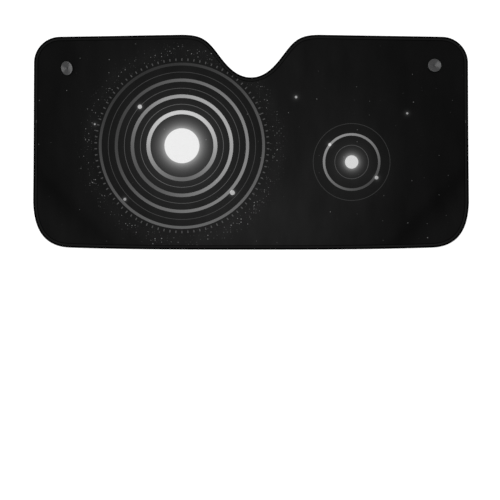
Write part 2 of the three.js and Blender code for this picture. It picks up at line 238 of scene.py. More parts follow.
def half_outline(corner_steps, edge_steps, notch_steps):
    """The right half's upper and lower edges, from the side in to the centre line."""
    shoulder, notch = notch_curves(notch_steps)
    side_run = HEIGHT - TOP_CORNER_RADIUS - BOTTOM_CORNER["up"]
    bow_run = WIDTH / 2 - BOTTOM_CORNER["across"]
    top_run = WIDTH / 2 - TOP_CORNER_RADIUS - shoulder[0]
    bow_start = np.array([0, -HEIGHT / 2 - (BOW_POWER - 1) * BOTTOM_BOW])
    bottom = (bow_start, unit([bow_run, BOW_POWER * BOTTOM_BOW]))
    side = (np.array([WIDTH / 2, -HEIGHT / 2 + BOTTOM_CORNER["up"]]), unit([-SIDE_TAPER, side_run]))
    top = (shoulder, unit([-top_run, TOP_FALL]))
    top_arc = corner_arc(side, top, TOP_CORNER_RADIUS, corner_steps)
    bottom_arc = lower_corner(bottom, side, corner_steps)
    straight = np.linspace(top_arc[-1], shoulder, edge_steps + 1)
    upper = np.vstack([top_arc, straight[1:], notch[1:]])
    share = upper[corner_steps + 1:, 0] / top_arc[-1, 0]
    end = bottom_arc[-1]
    bow = np.column_stack([share * end[0], -HEIGHT / 2 + share ** BOW_POWER * (end[1] + HEIGHT / 2)])
    return upper, np.vstack([bottom_arc, bow])


def mirrored(half):
    return np.vstack([half * [-1, 1], half[-2::-1]])


def inward(loop):
    """Direction in from each point of a closed anticlockwise loop, scaled so that insets stay
    parallel."""
    ahead = np.roll(loop, -1, 0) - loop
    normal = np.column_stack([-ahead[:, 1], ahead[:, 0]]) / np.linalg.norm(ahead, axis=1)[:, None]
    before = np.roll(normal, 1, 0)
    middle = normal + before
    middle /= np.linalg.norm(middle, axis=1)[:, None]
    return middle / (middle * normal).sum(1)[:, None]


def resampled(loop, spacing):
    """Points at even distances round a closed loop, and the distance of each along it."""
    closed = np.vstack([loop, loop[:1]])
    run = np.concatenate([[0], np.cumsum(np.linalg.norm(np.diff(closed, axis=0), axis=1))])
    count = round(run[-1] / spacing)
    along = np.arange(count) * run[-1] / count
    return np.column_stack([np.interp(along, run, closed[:, k]) for k in (0, 1)]), along, run[-1]


CORNER_STEPS = 24
EDGE_STEPS = 86
NOTCH_STEPS = 30
EDGE_SPACING = 3
UPPER, LOWER = (mirrored(half) for half in half_outline(CORNER_STEPS, EDGE_STEPS, NOTCH_STEPS))
FINE = [mirrored(half) for half in half_outline(4 * CORNER_STEPS, 2 * EDGE_STEPS, 4 * NOTCH_STEPS)]
EDGE, EDGE_ALONG, EDGE_LENGTH = resampled(np.vstack([FINE[1], FINE[0][::-1]]), EDGE_SPACING)
EDGE_IN = inward(EDGE)
AT_ONCE = 4000  # points compared with the whole outline in one go


def edge_at(along):
    """Place on the outline and direction in from it, at distances along it."""
    run = np.append(EDGE_ALONG, EDGE_LENGTH)

    def between(values):
        return np.interp(along % EDGE_LENGTH, run, np.append(values, values[0]))

    return [np.column_stack([between(v[:, 0]), between(v[:, 1])]) for v in (EDGE, EDGE_IN)]


def from_edge(points):
    """Distance of each point from the outline, and along it."""
    inset = np.empty(len(points))
    along = np.empty(len(points))
    for part in np.array_split(np.arange(len(points)), max(1, len(points) // AT_ONCE)):
        apart = ((points[part, None] - EDGE[None]) ** 2).sum(2)
        nearest = apart.argmin(1)
        inset[part] = np.sqrt(apart[np.arange(len(part)), nearest])
        along[part] = EDGE_ALONG[nearest]
    return inset, along


# Meshes

def make_piece(name, points, faces, body, slot, material, sharp=40, **fields):
    """A smooth-shaded mesh that rides on a body. points are in millimetres, and each field is a
    number for each of them."""
    mesh = bpy.data.meshes.new(name)
    mesh.from_pydata((np.asarray(points) * MM).tolist(), [], faces)
    mesh.validate()
    for field, values in fields.items():
        made = mesh.attributes.new(field, "FLOAT", "POINT")
        made.data.foreach_set("value", np.asarray(values, np.float32))
    mesh.shade_smooth()
    mesh.set_sharp_from_angle(angle=math.radians(sharp))
    mesh.materials.append(material)
    piece = bpy.data.objects.new(name, mesh)
    bpy.context.scene.collection.objects.link(piece)
    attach(piece, body)
    return piece


def sweep_faces(rings, sides, closed=True):
    """Quads between rings of points that lie one after another."""
    faces = []
    for i in range(rings if closed else rings - 1):
        here, ahead = i * sides, (i + 1) % rings * sides
        faces += [
            (here + j, here + (j + 1) % sides, ahead + (j + 1) % sides, ahead + j)
            for j in range(sides)
        ]
    return faces


def end_caps(rings, sides):
    return [tuple(range(sides))[::-1], tuple(range((rings - 1) * sides, rings * sides))]


def repeated(faces, count, times):
    """The faces of one copy of count points, for each of several copies."""
    return [tuple(point + i * count for point in face) for i in range(times) for face in faces]


def angles_round(sides):
    return 2 * np.pi * np.arange(sides) / sides


# Laminate

EDGE_ROWS = np.array([0, 3, 6, 9, 12, 14, 16, 19, 22, 26, 30])
ROWS_BETWEEN = 100


def row_distances(length):
    """Distances down one column: close rows near both edges, where the seam draws the cloth."""
    between = length - 2 * EDGE_ROWS[-1]
    middle = EDGE_ROWS[-1] + between * np.arange(1, ROWS_BETWEEN) / ROWS_BETWEEN
    return np.concatenate([EDGE_ROWS, middle, length - EDGE_ROWS[::-1]])


def laminate_grid():
    """Points of the laminate, column by column from the left, each column from the bottom up."""
    def column(bottom, top):
        length = np.linalg.norm(top - bottom)
        return bottom + (top - bottom) * (row_distances(length) / length)[:, None]

    sides = [column(LOWER[i], UPPER[i])[1:-1] for i in (0, -1)]
    loop = np.vstack([LOWER, sides[1], UPPER[::-1], sides[0][::-1]])
    inset = loop + LAMINATE_INSET * inward(loop)
    count, rows = len(LOWER), len(sides[0])
    lower = inset[:count]
    right = inset[count:count + rows]
    upper = inset[count + rows:2 * count + rows][::-1]
    left = inset[2 * count + rows:][::-1]
    grid = np.array([column(a, b) for a, b in zip(lower, upper)])
    grid[-1, 1:-1] = right
    grid[0, 1:-1] = left
    return grid


def holed_faces(grid):
    """Quads of the grid, anticlockwise from above, with the necks' holes left out. The points
    round each hole are drawn in to its edge."""
    columns, rows = grid.shape[:2]
    number = np.arange(columns * rows).reshape(columns, rows)
    corners = [number[:-1, :-1], number[1:, :-1], number[1:, 1:], number[:-1, 1:]]
    quads = np.stack(corners, -1).reshape(-1, 4)
    flat = grid.reshape(-1, 2)
    for cup in CUPS.values():
        out = flat - cup["place"]
        away = np.linalg.norm(out, axis=1)
        gone = away < HOLE_RADIUS + HOLE_MARGIN
        cut = gone[quads].any(1)
        rim = np.setdiff1d(quads[cut], np.flatnonzero(gone))
        flat[rim] = cup["place"] + out[rim] * (HOLE_RADIUS / away[rim])[:, None]
        quads = quads[~cut]
    return flat, quads


def closed_sheet(name, base, thickness, proud, **looks):
    """The laminate's grid as one closed layer. proud gives how far its top and its underside
    stand proud at (inset, along)."""
    flat, quads = holed_faces(laminate_grid())
    inset, along = from_edge(flat)
    level = lie(flat[:, 0], flat[:, 1]) + base
    top_relief, under_relief = proud(inset, along)
    top = np.column_stack([flat, level + thickness + top_relief])
    under = np.column_stack([flat, level + under_relief])
    edges = np.concatenate([quads[:, [k, (k + 1) % 4]] for k in range(4)])
    count = len(flat)
    forward = edges[:, 0].astype(np.int64) * count + edges[:, 1]
    backward = edges[:, 1].astype(np.int64) * count + edges[:, 0]
    a, b = edges[~np.isin(forward, backward)].T
    walls = np.column_stack([a, b, b + count, a + count])
    faces = np.vstack([quads + count, quads[:, ::-1], walls])
    used = np.unique(faces)
    renumbered = np.zeros(2 * count, int)
    renumbered[used] = np.arange(len(used))
    points = np.vstack([under, top])[used]
    insets = np.concatenate([inset, inset])[used]
    return make_piece(name, points, renumbered[faces].tolist(), "panel", inset=insets * MM, **looks)


def drawn_in(inset):
    """How far the seam draws a face in beside the tape."""
    return SEAM_DIP * np.exp(-((inset - SEAM_AT) / SEAM_WIDTH) ** 2)


def cloth_relief(inset, along):
    """Both faces of the cloth ripple and dip together."""
    height = held_pucker(along, inset) - drawn_in(inset)
    return height, height


def foil_relief(inset, along):
    """The foam is pressed thinner beside the seam, and its foil only ripples."""
    height = held_pucker(along, inset)
    return height - drawn_in(inset), height


# Shader fields: numbers that vary over a surface, written as sums

class Field:
    def __init__(self, graph, socket):
        self.graph = graph
        self.socket = socket

    def math(self, operation, *others):
        return self.graph.math(operation, self, *others)

    def __add__(self, other):
        return self.math("ADD", other)

    def __sub__(self, other):
        return self.math("SUBTRACT", other)

    def __rsub__(self, other):
        return self.graph.math("SUBTRACT", other, self)

    def __mul__(self, other):
        return self.math("MULTIPLY", other)

    def __truediv__(self, other):
        return self.math("DIVIDE", other)

    def __pow__(self, other):
        return self.math("POWER", other)

    def __abs__(self):
        return self.math("ABSOLUTE")

    def sin(self):
        return self.math("SINE")

    def floor(self):
        return self.math("FLOOR")

    def fraction(self):
        return self.math("FRACT")

    def exp(self):
        return self.math("EXPONENT")

    def root(self):
        return self.math("SQRT")

    def at_least(self, limit):
        return self.math("MAXIMUM", limit)

    def below(self, limit, soft):
        """1 where this is under the limit, fading to 0 over a soft edge."""
        return self.graph.ramp(self, limit + soft / 2, limit - soft / 2)


class Graph:
    """A material's nodes, built as fields."""

    def __init__(self, name):
        self.material = bpy.data.materials.new(name)
        self.material.use_nodes = True
        self.nodes = self.material.node_tree.nodes
        self.links = self.material.node_tree.links
        self.shader = self.nodes["Principled BSDF"]

    def node(self, kind, **settings):
        made = self.nodes.new(kind)
        for key, value in settings.items():
            setattr(made, key, value)
        return made

    def feed(self, socket, value):
        if isinstance(value, Field):
            self.links.new(value.socket, socket)
        else:
            socket.default_value = value

    def math(self, operation, *values):
        made = self.node("ShaderNodeMath", operation=operation)
        for socket, value in zip(made.inputs, values):
            self.feed(socket, value)
        return Field(self, made.outputs[0])

    def ramp(self, value, low, high):
        """0 where the value is low, rising smoothly to 1 where it is high."""
        made = self.node("ShaderNodeMapRange", interpolation_type="SMOOTHSTEP")
        for socket, number in zip(made.inputs, (value, low, high)):
            self.feed(socket, number)
        return Field(self, made.outputs[0])

    def place(self):
        """X, Y and Z on the object, in metres."""
        split = self.node("ShaderNodeSeparateXYZ")
        self.links.new(self.node("ShaderNodeTexCoord").outputs["Object"], split.inputs[0])
        return [Field(self, out) for out in split.outputs]

    def attribute(self, name):
        return Field(self, self.node("ShaderNodeAttribute", attribute_name=name).outputs["Fac"])

    def combined(self, x, y, z=0.0):
        made = self.node("ShaderNodeCombineXYZ")
        for socket, value in zip(made.inputs, (x, y, z)):
            self.feed(socket, value)
        return made.outputs[0]

    def noise(self, scale, detail, vector=None):
        made = self.node("ShaderNodeTexNoise")
        made.inputs["Scale"].default_value = scale
        made.inputs["Detail"].default_value = detail
        source = vector or self.node("ShaderNodeTexCoord").outputs["Object"]
        self.links.new(source, made.inputs["Vector"])
        return Field(self, made.outputs[0])

    def mottle(self, scale, detail, swing, level, vector=None):
        """Noise between a level and that level plus the swing."""
        return self.noise(scale, detail, vector) * swing + level

    def paint(self, tone, tint=(1, 1, 1)):
        """Base colour, from a field of brightness."""
        made = self.node("ShaderNodeCombineColor")
        for socket, share in zip(made.inputs, tint):
            self.feed(socket, tone * share)
        self.links.new(made.outputs[0], self.shader.inputs["Base Color"])

    def bump(self, height, strength):
        """Relief whose height is in metres."""
        made = self.node("ShaderNodeBump")
        made.inputs["Strength"].default_value = strength
        made.inputs["Distance"].default_value = 1.0
        self.feed(made.inputs["Height"], height)
        self.links.new(made.outputs[0], self.shader.inputs["Normal"])

    def set(self, **values):
        for key, value in values.items():
            self.feed(self.shader.inputs[key.replace("_", " ")], value)


# Print: a generic night chart of plain discs, rings, ticks and dots on a black ground

PALE = 0.86
EDGE_SOFTNESS = 0.9
HAIRLINE = 1.6
LARGE_GLOW = [(14, 0.3), (90, 0.025)]  # reach and strength
LARGE_RING_TONES = [0.56, 0.37, 0.21, 0.11]
LARGE_RING_SWEEP = {"swing": 0.42, "level": 0.62}
LARGE_RING_TURN = 0.9  # how far each ring's bright side turns from the last one's
LARGE_HAIRLINE_TONES = [0.11, 0.08, 0.05]
TICKS = {"count": 90, "out": 15, "length": 8, "width": 0.09, "soft": 0.04, "tone": 0.06}
BELT = {"out": 44, "spread": 20, "glow": 0.0015}
CLOSE_DOTS = {"cell": 11, "seed": 3.3}
CLOSER_DOTS = {"cell": 7, "seed": 5.1}
CLOSE_DOTS_TONE = 1.6
SMALL_GLOW = [(8, 0.2), (60, 0.014)]
SMALL_DISC_TONE = 0.8 * PALE
SMALL_RING_TONE = 0.26
SMALL_RING_SWEEP = {"turn": -0.6, "swing": 0.4, "level": 0.6}
SMALL_HAIRLINES = [(56, 0.07), (128, 0.035)]  # radius and tone
PLAIN_DOTS = [  # place, radius and tone
    (-370, 118, 7, 0.5),
    (-62, -168, 8, 0.45),
    (-420, -190, 5, 0.3),
    (262, -8, 5, 0.4),
    (418, -118, 6, 0.4),
    (150, 150, 4, 0.35),
    (520, 96, 3.5, 0.3),
    (-520, 60, 3, 0.28),
]
PLAIN_DOT_GLOW = {"reach": 4, "share": 0.1}
FINE_DOT = {"radius": 0.45, "swell": 1.2, "tone": 0.02, "shine": 0.14}
FINE_DOT_EDGE = (1.3, 0.5)  # shares of its radius between which a dot fades in
EMPTY_SHARE = (0.58, 0.6)  # of the fine dots' places, with a soft limit
WIDE_DOTS = {"cell": 46, "seed": 0.7}
WIDER_DOTS = {"cell": 71, "seed": 2.1}

GROUND = 0.0038
MIDDLE_HAZE = {"at": (-60, -50), "reach": (500, 500), "power": 4, "tone": 0.0034}
LOW_HAZE = {"at": (0, -270), "reach": (280, 140), "power": 2, "tone": 0.0066}
CLOUD = {"scale": 9, "detail": 5.0, "swing": 0.9, "level": 0.55}
CLOUD_STRETCH = (0.6, 1.6, 1)
# Painted light and shade at the lower corners, not print: painted lighter where they curl up, past a
# painted darker band where the curl begins.
CURL_LINE = 815  # where the lower corners' curl begins to show: distance out plus distance down
PAINTED_CURL_SHADE = {"width": 38, "dark": 0.3}
PAINTED_CURL_LIGHT = {"from": 30, "to": 130, "light": 0.35}


def distance_from(graph, x, y, centre):
    east = x - centre[0] * MM
    north = y - centre[1] * MM
    return (east * east + north * north).root(), graph.math("ARCTAN2", north, east)


def band(distance, radius, width):
    return abs(distance - radius * MM).below(width / 2 * MM, EDGE_SOFTNESS * MM)


def one_sided(angle, turn, swing, level):
    """Tone round a ring that is brighter on one side."""
    return (angle + turn).sin() * swing + level


def large_ring_radii():
    reach = HEIGHT / 2 - PRINT_MARGIN - LARGE_DISC["radius"]
    return [LARGE_DISC["radius"] + reach * (i + 1) / LARGE_RINGS for i in range(LARGE_RINGS)]


def lit_disc(distance, radius, shade, glows):
    """A pale disc, and the light that fades outward from its edge: glows are reach and strength."""
    outside = (distance - radius * MM).at_least(0.0)
    own = shade - sum(strength for _, strength in glows)
    tone = distance.below(radius * MM, EDGE_SOFTNESS * MM) * own
    for reach, strength in glows:
        tone = tone + (outside * (-1 / (reach * MM))).exp() * strength
    return tone


def large_chart(graph, x, y):
    away, angle = distance_from(graph, x, y, LARGE_DISC["centre"])
    tone = lit_disc(away, LARGE_DISC["radius"], PALE, LARGE_GLOW)
    radii = large_ring_radii()
    for i, (radius, shade) in enumerate(zip(radii, LARGE_RING_TONES)):
        sweep = one_sided(angle, LARGE_RING_TURN * i, **LARGE_RING_SWEEP)
        width = LARGE_RING_WIDTH * RING_THINNING ** i
        tone = tone + band(away, radius, width) * sweep * shade
    for radius, next_radius, shade in zip(radii, radii[1:], LARGE_HAIRLINE_TONES):
        tone = tone + band(away, (radius + next_radius) / 2, HAIRLINE) * shade
    step = (angle * (TICKS["count"] / (2 * math.pi))).fraction()
    ticks = abs(step - 0.5).below(TICKS["width"], TICKS["soft"])
    tone = tone + ticks * band(away, radii[-1] + TICKS["out"], TICKS["length"]) * TICKS["tone"]
    belt = (((away - (radii[-1] + BELT["out"]) * MM) / (BELT["spread"] * MM)) ** 2 * -1).exp()
    dots = fine_dots(graph, x, y, **CLOSE_DOTS) * CLOSE_DOTS_TONE
    dots = dots + fine_dots(graph, x, y, **CLOSER_DOTS)
    return tone + belt * (dots + BELT["glow"])


def small_chart(graph, x, y):
    away, angle = distance_from(graph, x, y, SMALL_DISC["centre"])
    tone = lit_disc(away, SMALL_DISC["radius"], SMALL_DISC_TONE, SMALL_GLOW)
    sweep = one_sided(angle, **SMALL_RING_SWEEP)
    tone = tone + band(away, SMALL_RING_RADIUS, SMALL_RING_WIDTH) * sweep * SMALL_RING_TONE
    for radius, shade in SMALL_HAIRLINES:
        tone = tone + band(away, radius, HAIRLINE) * shade
    return tone


def plain_dots(graph, x, y):
    tone = 0.0
    for east, north, radius, shade in PLAIN_DOTS:
        away, _ = distance_from(graph, x, y, (east, north))
        glow = (PLAIN_DOT_GLOW["reach"], PLAIN_DOT_GLOW["share"] * shade)
        tone = lit_disc(away, radius, shade, [glow]) + tone
    return tone


def fine_dots(graph, x, y, cell, seed):
    """Scattered points of faint light: a loose grid, with most of its places left empty."""
    made = graph.node("ShaderNodeTexVoronoi", voronoi_dimensions="2D")
    made.inputs["Scale"].default_value = 1 / (cell * MM)
    graph.links.new(graph.combined(x + seed, y - seed), made.inputs["Vector"])
    away = Field(graph, made.outputs["Distance"]) * (cell * MM)
    split = graph.node("ShaderNodeSeparateColor")
    graph.links.new(made.outputs["Color"], split.inputs[0])
    chance, present = (Field(graph, out) for out in split.outputs[:2])
    rarity = chance ** 3
    radius = rarity * (FINE_DOT["swell"] * MM) + FINE_DOT["radius"] * MM
    dot = graph.ramp(away / radius, *FINE_DOT_EDGE) * graph.ramp(present, *EMPTY_SHARE)
    return dot * (rarity * FINE_DOT["shine"] + FINE_DOT["tone"])


def haze(x, y, at, reach, power, tone):
    """A soft patch where the ground is lighter."""
    east = (x - at[0] * MM) / (reach[0] * MM)
    north = (y - at[1] * MM) / (reach[1] * MM)
    return ((east ** power + north ** power) * -1).exp() * tone


def ground(graph, x, y):
    """Near-black, hazy and lighter towards the middle and low in the middle, times the painted light and
    shade of the lower corners.
    """
    stretched = graph.node("ShaderNodeMapping", vector_type="TEXTURE")
    stretched.inputs["Scale"].default_value = CLOUD_STRETCH
    graph.links.new(graph.combined(x, y), stretched.inputs["Vector"])
    cloud = graph.mottle(vector=stretched.outputs[0], **CLOUD)
    tone = haze(x, y, **MIDDLE_HAZE) + haze(x, y, **LOW_HAZE) + GROUND
    return tone * cloud * painted_corner_light_and_shade(graph, x, y)


def painted_corner_light_and_shade(graph, x, y):
    """Painted light and shade: the lower corners, which curl up, are painted lighter, past a painted
    darker band where the curl begins.
    """
    past = abs(x) - y - CURL_LINE * MM
    painted_band_shade = (past * past * (-1 / (PAINTED_CURL_SHADE["width"] * MM) ** 2)).exp()
    painted_light_share = graph.ramp(past, PAINTED_CURL_LIGHT["from"] * MM, PAINTED_CURL_LIGHT["to"] * MM)
    return painted_light_share * PAINTED_CURL_LIGHT["light"] - painted_band_shade * PAINTED_CURL_SHADE["dark"] + 1


# Materials

# The weave's shade is painted shade on its crossings, following the same waves as its relief.
WEAVE = {"pitch": 0.62, "height": 0.05, "shade": 0.1}
FIBRE = {"scale": 900, "swing": 0.3, "level": 0.85}
SLUB = {"scale": 300, "height": 0.06}
# A painted shadow on the cloth, in a line just past the tape's inner edge.
PAINTED_SEAM_SHADOW = {"beside": 1.2, "half_width": 1.6, "soft": 2, "dark": 0.7}  # on the cloth, past the tape

FOIL_TONE = {"scale": 40, "detail": 4.0, "swing": 0.14, "level": 0.42}
FOIL_ROUGHNESS = {"scale": 90, "detail": 3.0, "swing": 0.18, "level": 0.24}
# Painted light and shade: the bubbles' domes lighter, the film between them darker.
PAINTED_DOME_LIGHT_AND_SHADE = {"shine": 0.5, "level": 0.8}
FOIL_TINT = (1, 1.005, 1.02)
# The creases are also painted darker, as shade.
CREASE = {"scale": 24, "warp": 0.03, "width": 0.012, "soft": 0.02, "height": 0.15, "dark": 0.14}
CRINKLE = {"scale": 160, "height": 0.3}

TAPE_TONE = 0.0095
# Painted shade: the tape is painted darker where it turns over the edge.
PAINTED_FOLD_SHADE = {"inset": 5.9, "soft": 1.2, "dark": 0.0092}  # the tape is darker where it folds over
TAPE_WEAR = {"scale": 500, "detail": 2.0, "swing": 0.4, "level": 0.8}
RIB = {"pitch": 0.95, "height": 0.045}
TAPE_YARN = {"pitch": 0.5, "height": 0.012}
# Painted shade in the shallow groove along the stitch line.
PAINTED_GROOVE_SHADE = {"half_width": 0.7, "soft": 0.8, "dark": 0.15}

BLACK_THREAD = 0.008
PALE_THREAD = 0.045
# The twist's shade is painted shade along the thread's twist, following its bump.
TWIST = {"pitch": 0.42, "slant": 0.8, "height": 0.02, "shade": 0.18}

CUP_MILK = {"scale": 220, "detail": 3.0, "swing": 0.02, "level": 0.032}
CUP_ROUGHNESS = {"scale": 350, "detail": 2.0, "swing": 0.1, "level": 0.22}
CUP_MIDDLE = {"radius": 4, "soft": 5, "clear": 0.6}
CUP_TINT = (1, 1, 1.02)
CUP_GRAIN = {"scale": 420, "height": 0.03}
MOULD_RING = {"pitch": 1.9, "height": 0.012}


def waves(field, pitch):
    """From -1 to 1 and back, once in each pitch."""
    return (field * (2 * math.pi / (pitch * MM))).sin()


def relief(field, pitch, height):
    return waves(field, pitch) * (height * MM)


def weave(x, y, pitch):
    """Over and under of a plain weave, from -1 to 1."""
    return waves(x, pitch) * waves(y, pitch)


def cloth_material():
    graph = Graph("printed_cloth")
    x, y, _ = graph.place()
    inset = graph.attribute("inset")
    tone = large_chart(graph, x, y) + small_chart(graph, x, y) + plain_dots(graph, x, y)
    tone = tone + fine_dots(graph, x, y, **WIDE_DOTS) + fine_dots(graph, x, y, **WIDER_DOTS)
    tone = tone + ground(graph, x, y)
    # Painted shadow: the cloth is painted darker in a line beside the tape.
    beside = abs(inset - (TAPE_LEG + PAINTED_SEAM_SHADOW["beside"]) * MM)
    seam = beside.below(PAINTED_SEAM_SHADOW["half_width"] * MM, PAINTED_SEAM_SHADOW["soft"] * MM)
    crossing = weave(x, y, WEAVE["pitch"])
    fibre = graph.noise(FIBRE["scale"], 2.0) * FIBRE["swing"]
    # Painted shade on the weave's crossings, times random fibre tone.
    fibre = fibre + crossing * WEAVE["shade"] + FIBRE["level"]
    graph.paint(tone * fibre * (1 - seam * PAINTED_SEAM_SHADOW["dark"]))
    graph.set(Roughness=0.72, Specular_IOR_Level=0.015, Sheen_Weight=0.08, Sheen_Roughness=0.3)
    slubs = graph.noise(SLUB["scale"], 2.0) * (SLUB["height"] * MM)
    graph.bump(crossing * (WEAVE["height"] * MM) + slubs, strength=0.9)
    return graph.material


def foil_material():
    """Silver film, creased from folding, with painted light and shade: lighter on its bubbles' domes,
    darker between them and along the creases.
    """
    graph = Graph("foil_foam")
    x, y, _ = graph.place()
    row = y / (BUBBLE_ROW * MM)
    shifted = x / (BUBBLE_PITCH * MM) + row.floor() * 0.5
    east = (shifted.fraction() - 0.5) * BUBBLE_PITCH
    north = (row.fraction() - 0.5) * BUBBLE_ROW
    away = (east * east + north * north).root() / BUBBLE_RADIUS
    dome = (1 - away * away).at_least(0.0).root()
    cells = graph.node("ShaderNodeTexVoronoi", feature="DISTANCE_TO_EDGE")
    cells.inputs["Scale"].default_value = CREASE["scale"]
    warped_x = x + graph.noise(30, 2.0) * CREASE["warp"]
    warped_y = y + graph.noise(34, 2.0) * CREASE["warp"]
    graph.links.new(graph.combined(warped_x, warped_y), cells.inputs["Vector"])
    crease = Field(graph, cells.outputs["Distance"]).below(CREASE["width"], CREASE["soft"])
    crinkle = graph.noise(CRINKLE["scale"], 5.0) * (CRINKLE["height"] * MM)
    # Painted light and shade: lighter on the domes, darker between them and along the creases.
    shine = dome * PAINTED_DOME_LIGHT_AND_SHADE["shine"] + PAINTED_DOME_LIGHT_AND_SHADE["level"]
    graph.paint(graph.mottle(**FOIL_TONE) * shine * (1 - crease * CREASE["dark"]), FOIL_TINT)
    graph.set(Metallic=0.9, Roughness=graph.mottle(**FOIL_ROUGHNESS))
    graph.bump(crinkle + crease * (CREASE["height"] * MM), strength=0.9)
    return graph.material


def tape_material():
    """Ribbed polyester tape: fine ribs across it, with painted shade where it turns over the edge and in
    the groove along its stitches.
    """
    graph = Graph("binding_tape")
    along = graph.attribute("along")
    across = graph.attribute("across")
    # Painted shade over the fold.
    fold = across.below(PAINTED_FOLD_SHADE["inset"] * MM, PAINTED_FOLD_SHADE["soft"] * MM)
    tone = (TAPE_TONE - fold * PAINTED_FOLD_SHADE["dark"]) * graph.mottle(**TAPE_WEAR)
    # Painted shade in the groove along the stitches.
    from_stitches = abs(across - STITCH_LINE * MM)
    groove = from_stitches.below(PAINTED_GROOVE_SHADE["half_width"] * MM, PAINTED_GROOVE_SHADE["soft"] * MM)
    graph.paint(tone * (1 - groove * PAINTED_GROOVE_SHADE["dark"]))
    graph.set(Roughness=0.75, Specular_IOR_Level=0.01)
    graph.bump(relief(along, **RIB) + relief(across, **TAPE_YARN), strength=0.8)
    return graph.material


def thread_material(name, tone):
    graph = Graph(name)
    x, y, z = graph.place()
    twist = waves(x + y * TWIST["slant"] + z, TWIST["pitch"])
    # Painted shade along the twist.
    graph.paint(twist * (TWIST["shade"] * tone) + tone)
    graph.set(Roughness=0.5, Specular_IOR_Level=0.1)
    graph.bump(twist * (TWIST["height"] * MM), strength=0.6)
    return graph.material


def cup_material():
    """Soft clear vinyl, faintly milky, with the moulding's fine marks."""
    graph = Graph("clear_cup")
    reach = graph.attribute("reach")
    middle = reach.below(CUP_MIDDLE["radius"] * MM, CUP_MIDDLE["soft"] * MM)
    graph.paint(graph.mottle(**CUP_MILK) * (1 - middle * CUP_MIDDLE["clear"]), CUP_TINT)
    graph.set(Roughness=graph.mottle(**CUP_ROUGHNESS))
    graph.set(IOR=1.45, Transmission_Weight=0.12, Specular_IOR_Level=0.27)
    grain = graph.noise(CUP_GRAIN["scale"], 2.0) * (CUP_GRAIN["height"] * MM)
    graph.bump(grain + relief(reach, **MOULD_RING), strength=0.4)
    return graph.material


# Bubbles embossed in the foil

def bubble_centres():
    """Places in staggered rows, clear of the tape and of the cups' heads."""
    rows = np.arange(-round(HEIGHT / 2 / BUBBLE_ROW), round(HEIGHT / 2 / BUBBLE_ROW))
    steps = np.arange(-round(WIDTH / BUBBLE_PITCH), round(WIDTH / BUBBLE_PITCH))
    row, step = np.meshgrid(rows, steps)
    east = (step + 0.5 - 0.5 * row) * BUBBLE_PITCH
    north = (row + 0.5) * BUBBLE_ROW
    centres = np.column_stack([east.ravel(), north.ravel()])
    centres = centres[inside_edge(centres)]
    inset, _ = from_edge(centres)
    centres = centres[inset > TAPE_LEG + BUBBLE_RADIUS + BUBBLE_CLEARANCE]
    for cup in CUPS.values():
        away = np.linalg.norm(centres - cup["place"], axis=1)
        centres = centres[away > HEAD_RADIUS + BUBBLE_RADIUS + BUBBLE_CLEARANCE]
    return centres


def inside_edge(points):
    """Whether each point lies within the outline: it does where a ray to its right crosses the
    outline an odd number of times."""
    x, y = points[:, :1], points[:, 1:]
    (x1, y1), (x2, y2) = EDGE.T, np.roll(EDGE, -1, 0).T
    crosses = (y1 > y) != (y2 > y)
    run = np.where(y2 == y1, 1, y2 - y1)
    return (crosses & (x < x1 + (y - y1) * (x2 - x1) / run)).sum(1) % 2 == 1


def foil_bubbles(material, foil):
    """Low domes on the foil's underside, which move with it."""
    centres = bubble_centres()
    middles = centres[:, None]
    sides = BUBBLE_SIDES
    angle = angles_round(sides)
    spokes = np.column_stack([np.cos(angle), np.sin(angle)])
    rings = [middles + spokes * (share * BUBBLE_RADIUS) for share, _ in BUBBLE_RINGS]
    flat = np.concatenate(rings + [middles], axis=1)
    rise = np.concatenate([np.full(sides, height) for _, height in BUBBLE_RINGS] + [[-BUBBLE_HEIGHT]])
    z = lie(flat[:, :, 0], flat[:, :, 1]) + rise
    points = np.concatenate([flat, z[:, :, None]], axis=2).reshape(-1, 3)
    ahead = [(j + 1) % sides for j in range(sides)]
    one = [(j, sides + j, sides + k, k) for j, k in enumerate(ahead)]
    one += [(sides + j, 2 * sides, sides + k) for j, k in enumerate(ahead)]
    one.append(tuple(range(sides)))
    faces = repeated(one, 2 * sides + 1, len(centres))
    piece = make_piece("foil_bubbles", points, faces, "panel", "foil_foam", material, sharp=80)
    piece.parent = foil
    add_bake_map(piece, faces, flat)
    return piece


def add_bake_map(bubbles, faces, flat):
    """The bubbles seen from above, with their domes on the map's lower half and their bases on the
    upper one."""
    corners = np.array([corner for face in faces for corner in face])
    on_map = flat.reshape(-1, 2)[corners] / WIDTH + [0.5, 0.25]
    on_map.reshape(len(flat), -1, 2)[:, -BUBBLE_SIDES:, 1] += 0.5
    bubbles.data.uv_layers.new(name=BAKE_MAP).uv.foreach_set("vector", on_map.ravel())


# Tape, stitches and bar tacks

TAPE_FACE = 2.6  # how far the stitched part of each leg stands from the laminate's middle
STITCH_LINE = 9.4
STITCH_PITCH = 4.6
STITCH_LENGTH = 3.3
STITCH_RISE = 0.34
THREAD_RADIUS = 0.27
THREAD_SIDES = 6
THREAD_TAPER = np.array([0.55, 0.95, 1, 0.95, 0.55])  # from a stitch's start to its end
THREAD_SINK = 0.12  # how deep the ends of a stitch sit in the tape
TACK_COUNT = 15
TACK_REACH = 4  # either way along the edge
TACK_HEIGHT = 69  # of the bar's middle, over the shade's middle
TACK_INSETS = (7.6, 10.8)
TACK_LIFT = 0.12
TACK_RISE = 0.3
TACK_THREAD_RADIUS = 0.3


